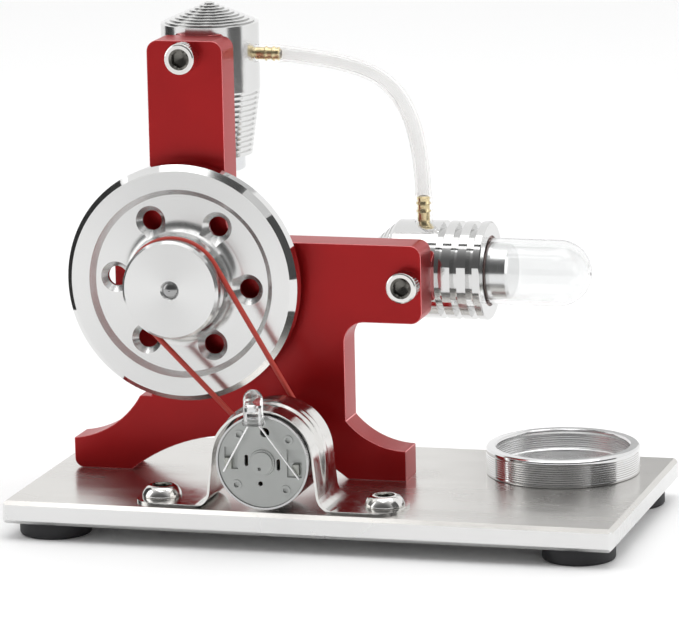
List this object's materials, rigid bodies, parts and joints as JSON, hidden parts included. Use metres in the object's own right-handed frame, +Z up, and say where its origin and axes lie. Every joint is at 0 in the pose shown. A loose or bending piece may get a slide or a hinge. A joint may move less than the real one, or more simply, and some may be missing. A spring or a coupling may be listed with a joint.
{
  "type": "hot-air engine",
  "caption": "Desktop hot-air engine: glass hot tube, finned cylinders, flywheel and a belt-driven generator that lights a lamp",
  "frame": {"origin": "on the table under the middle of the whole engine's box, base and lamp included", "axes": "+X to the right along the base, towards the burner seat; +Y from the generator to the back; +Z up"},
  "size_m": [0.16, 0.0844, 0.1312],
  "materials": {
    "base_steel": "satin brushed sheet steel, warm grey",
    "feet_rubber": "matt black rubber",
    "screw_steel": "bright nickel-plated screws",
    "frame_red": "satin red anodised aluminium, bright edge bevels",
    "bearing_steel": "ground bearing steel",
    "shaft_steel": "ground steel rod, darker than the flywheel",
    "flywheel_aluminium": "diamond-turned aluminium, near mirror, fine turning marks",
    "grub_steel": "blackened steel",
    "crank_aluminium": "turned aluminium",
    "rod_aluminium": "milled aluminium",
    "rod_steel": "ground stainless steel",
    "piston_graphite": "ground steel, dark grey",
    "displacer_aluminium": "turned aluminium",
    "cylinder_aluminium": "polished turned aluminium",
    "liner_steel": "honed steel",
    "gland_brass": "turned brass",
    "tube_glass": "clear borosilicate glass",
    "seal_silicone": "pale silicone",
    "nipple_brass": "turned brass",
    "hose_silicone": "milky see-through silicone",
    "belt_rubber": "red polyurethane",
    "can_steel": "nickel-plated can",
    "cap_zinc": "plain grey zinc casting",
    "terminal_tin": "tinned brass",
    "magnet_ferrite": "dark grey ferrite",
    "armature_copper": "laminated core wound in copper wire",
    "pulley_aluminium": "turned aluminium",
    "led_clear": "water-clear lamp",
    "leg_tin": "tinned wire",
    "strap_steel": "polished stainless sheet",
    "seat_aluminium": "turned aluminium, close grooves"
  },
  "bodies": {
    "chassis": {"base_plate": "base_steel", "rubber_feet": "feet_rubber", "foot_screws": "screw_steel", "frame": "frame_red", "frame_screws": "screw_steel", "front_bearing": "bearing_steel", "rear_bearing": "bearing_steel", "power_cylinder": "cylinder_aluminium", "power_liner": "liner_steel", "displacer_cylinder": "cylinder_aluminium", "displacer_gland": "gland_brass", "cylinder_screws": "screw_steel", "glass_tube": "tube_glass", "tube_seal": "seal_silicone", "upper_nipple": "nipple_brass", "lower_nipple": "nipple_brass", "air_hose": "hose_silicone", "drive_belt": "belt_rubber", "generator_can": "can_steel", "generator_end_cap": "cap_zinc", "generator_terminals": "terminal_tin", "generator_magnets": "magnet_ferrite", "led": "led_clear", "led_legs": "leg_tin", "generator_strap": "strap_steel", "strap_screws": "screw_steel", "burner_seat": "seat_aluminium", "burner_seat_screw": "screw_steel"},
    "crank": {"crank_shaft": "shaft_steel", "flywheel": "flywheel_aluminium", "flywheel_set_screw": "grub_steel", "crank_disc": "crank_aluminium", "crank_disc_set_screw": "grub_steel", "crank_pin": "screw_steel"},
    "power_rod": {"power_conrod": "rod_aluminium", "power_wrist_screw": "screw_steel"},
    "displacer_link": {"displacer_conrod": "rod_aluminium", "displacer_wrist_screw": "screw_steel"},
    "power_slide": {"power_piston": "piston_graphite", "power_piston_rod": "rod_aluminium"},
    "displacer_slide": {"displacer_piston": "displacer_aluminium", "displacer_rod": "rod_steel"},
    "generator_rotor": {"generator_armature": "armature_copper", "generator_shaft": "shaft_steel", "generator_pulley": "pulley_aluminium"}
  },
  "joints": [
    {"name": "crank_spin", "type": "hinge", "parent": "chassis", "child": "crank", "pos_m": [-0.0404, 0.01225, 0.062], "axis": [0, 1, 0], "continuous": true},
    {"name": "generator_spin", "type": "hinge", "parent": "chassis", "child": "generator_rotor", "pos_m": [-0.0103, -0.02775, 0.023], "axis": [0, 1, 0], "continuous": true},
    {"name": "power_rod_swing", "type": "hinge", "parent": "crank", "child": "power_rod", "pos_m": [-0.0404, 0.02125, 0.067], "axis": [0, 1, 0], "continuous": true},
    {"name": "displacer_rod_swing", "type": "hinge", "parent": "crank", "child": "displacer_link", "pos_m": [-0.0404, 0.02325, 0.067], "axis": [0, 1, 0], "continuous": true},
    {"name": "power_stroke", "type": "slide", "parent": "chassis", "child": "power_slide", "axis": [0, 0, 1], "range_m": [-0.01, 0]},
    {"name": "displacer_stroke", "type": "slide", "parent": "chassis", "child": "displacer_slide", "axis": [1, 0, 0], "range_m": [-0.00436, 0.00563]}
  ],
  "couplings": [
    {"joint": "generator_spin", "follows": "crank_spin", "ratio": 1.9538},
    {"joint": "power_rod_swing", "follows": "crank_spin", "ratio": -1},
    {"joint": "displacer_rod_swing", "follows": "crank_spin", "ratio": -1}
  ]
}
